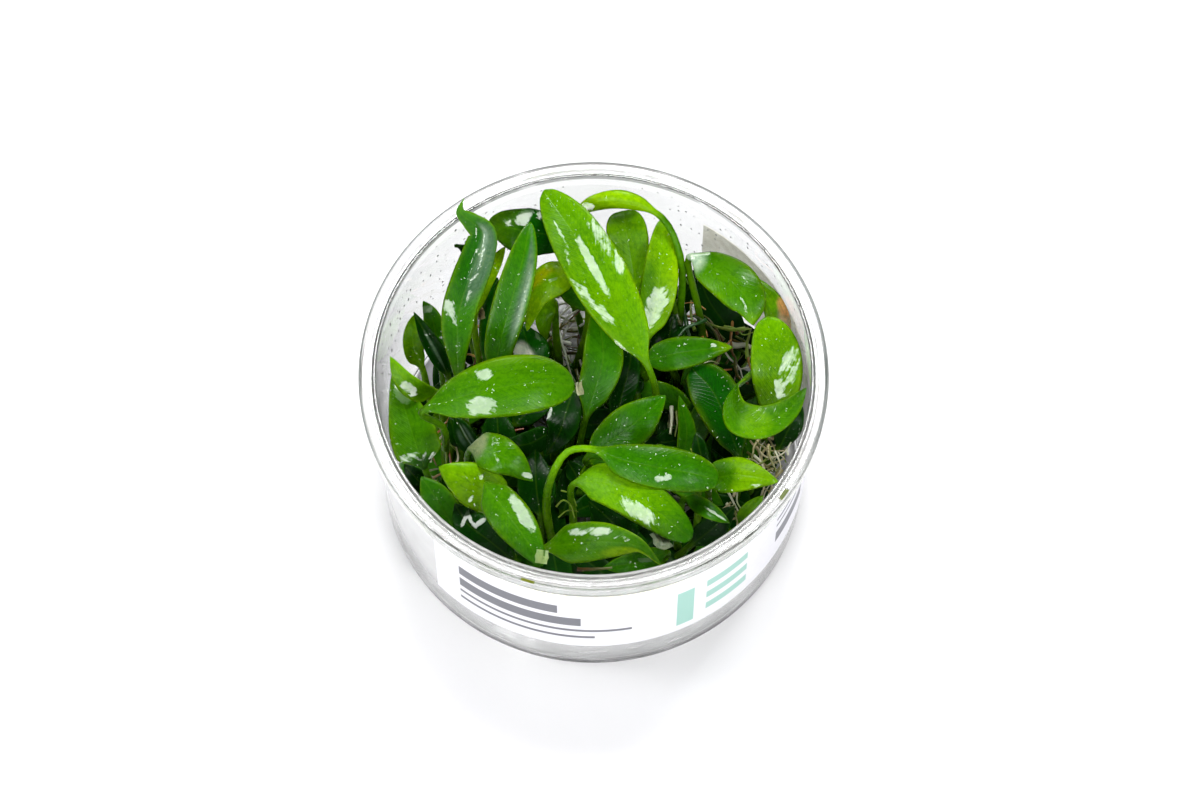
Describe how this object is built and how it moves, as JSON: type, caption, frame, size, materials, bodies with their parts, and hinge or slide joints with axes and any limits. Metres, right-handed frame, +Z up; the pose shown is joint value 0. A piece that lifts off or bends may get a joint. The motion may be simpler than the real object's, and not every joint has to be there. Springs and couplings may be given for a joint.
{
  "type": "tissue culture anubias congensis in an open cup",
  "caption": "Tissue culture anubias congensis: young lance-shaped glossy green leaves on creeping rhizomes with roots, packed in a low round clear open cup with a paper label round its side.",
  "frame": {"origin": "centre of the cup's flat foot, on the ground plane", "axes": "+Z up along the cup's axis, -Y towards the front, +X to the right as seen from the front"},
  "size_m": [0.1, 0.1, 0.0574],
  "materials": {
    "cup_plastic": "clear moulded plastic, see-through",
    "label_paper": "white, printed with plain bands",
    "leaf_bright": "wet glossy leaf, bright green",
    "leaf_medium": "wet glossy leaf, medium green",
    "leaf_dark": "wet glossy leaf, dark green",
    "leaf_yellow": "wet glossy leaf, yellow-green",
    "leaf_olive": "wet glossy leaf, olive",
    "rhizome": "brownish green stem"
  },
  "bodies": {
    "root": {"cup": "cup_plastic", "label": "label_paper", "leaf_centre_long": "leaf_bright", "leaf_back_arched": "leaf_yellow", "leaf_back_olive": "leaf_olive", "leaf_back_bright": "leaf_bright", "leaf_back_dark": "leaf_dark", "leaf_back_narrow": "leaf_dark", "leaf_curled_tip": "leaf_medium", "leaf_left_behind": "leaf_medium", "leaf_left_dark_upright": "leaf_medium", "leaf_left_thin_yellow": "leaf_yellow", "leaf_hooked_yellow": "leaf_yellow", "leaf_centre_grey": "leaf_olive", "leaf_centre_wet": "leaf_dark", "leaf_centre_upright": "leaf_bright", "leaf_wall_olive": "leaf_olive", "leaf_left_folded": "leaf_dark", "leaf_left_glossy_tip": "leaf_medium", "leaf_left_small_yellow": "leaf_yellow", "leaf_wall_broad": "leaf_medium", "leaf_left_horizontal": "leaf_bright", "leaf_left_striped": "leaf_dark", "leaf_front_left_hooked": "leaf_bright", "leaf_front_left_yellow": "leaf_yellow", "leaf_front_long": "leaf_bright", "leaf_front_twisted": "leaf_bright", "leaf_front_arched": "leaf_bright", "leaf_front_broad": "leaf_bright", "leaf_centre_broad": "leaf_medium", "leaf_centre_dark_left": "leaf_dark", "leaf_centre_dark_low": "leaf_dark", "leaf_right_pointed": "leaf_medium", "leaf_right_dark_round": "leaf_dark", "leaf_right_middle": "leaf_medium", "leaf_right_middle_low": "leaf_medium", "leaf_right_ring": "leaf_bright", "leaf_wall_right_broad": "leaf_medium", "leaf_wall_orange": "leaf_olive", "leaf_back_right_bright": "leaf_bright", "leaf_front_right_tip": "leaf_yellow", "leaf_front_right_narrow": "leaf_medium", "leaf_low_left_wall": "leaf_medium", "leaf_low_left_front": "leaf_dark", "leaf_low_left_back": "leaf_dark", "leaf_low_right_wall": "leaf_dark", "leaf_low_front_middle": "leaf_dark", "leaf_low_front": "leaf_medium", "leaf_low_front_right": "leaf_dark", "leaf_low_right_yellow": "leaf_olive", "leaf_low_centre": "leaf_dark", "leaf_low_centre_right": "leaf_medium", "leaf_low_back_right": "leaf_dark", "leaf_low_left_middle": "leaf_dark", "rhizome_back_left": "rhizome", "rhizome_back": "rhizome", "rhizome_left": "rhizome", "rhizome_front_left": "rhizome", "rhizome_centre": "rhizome", "rhizome_right": "rhizome"}
  },
  "joints": []
}
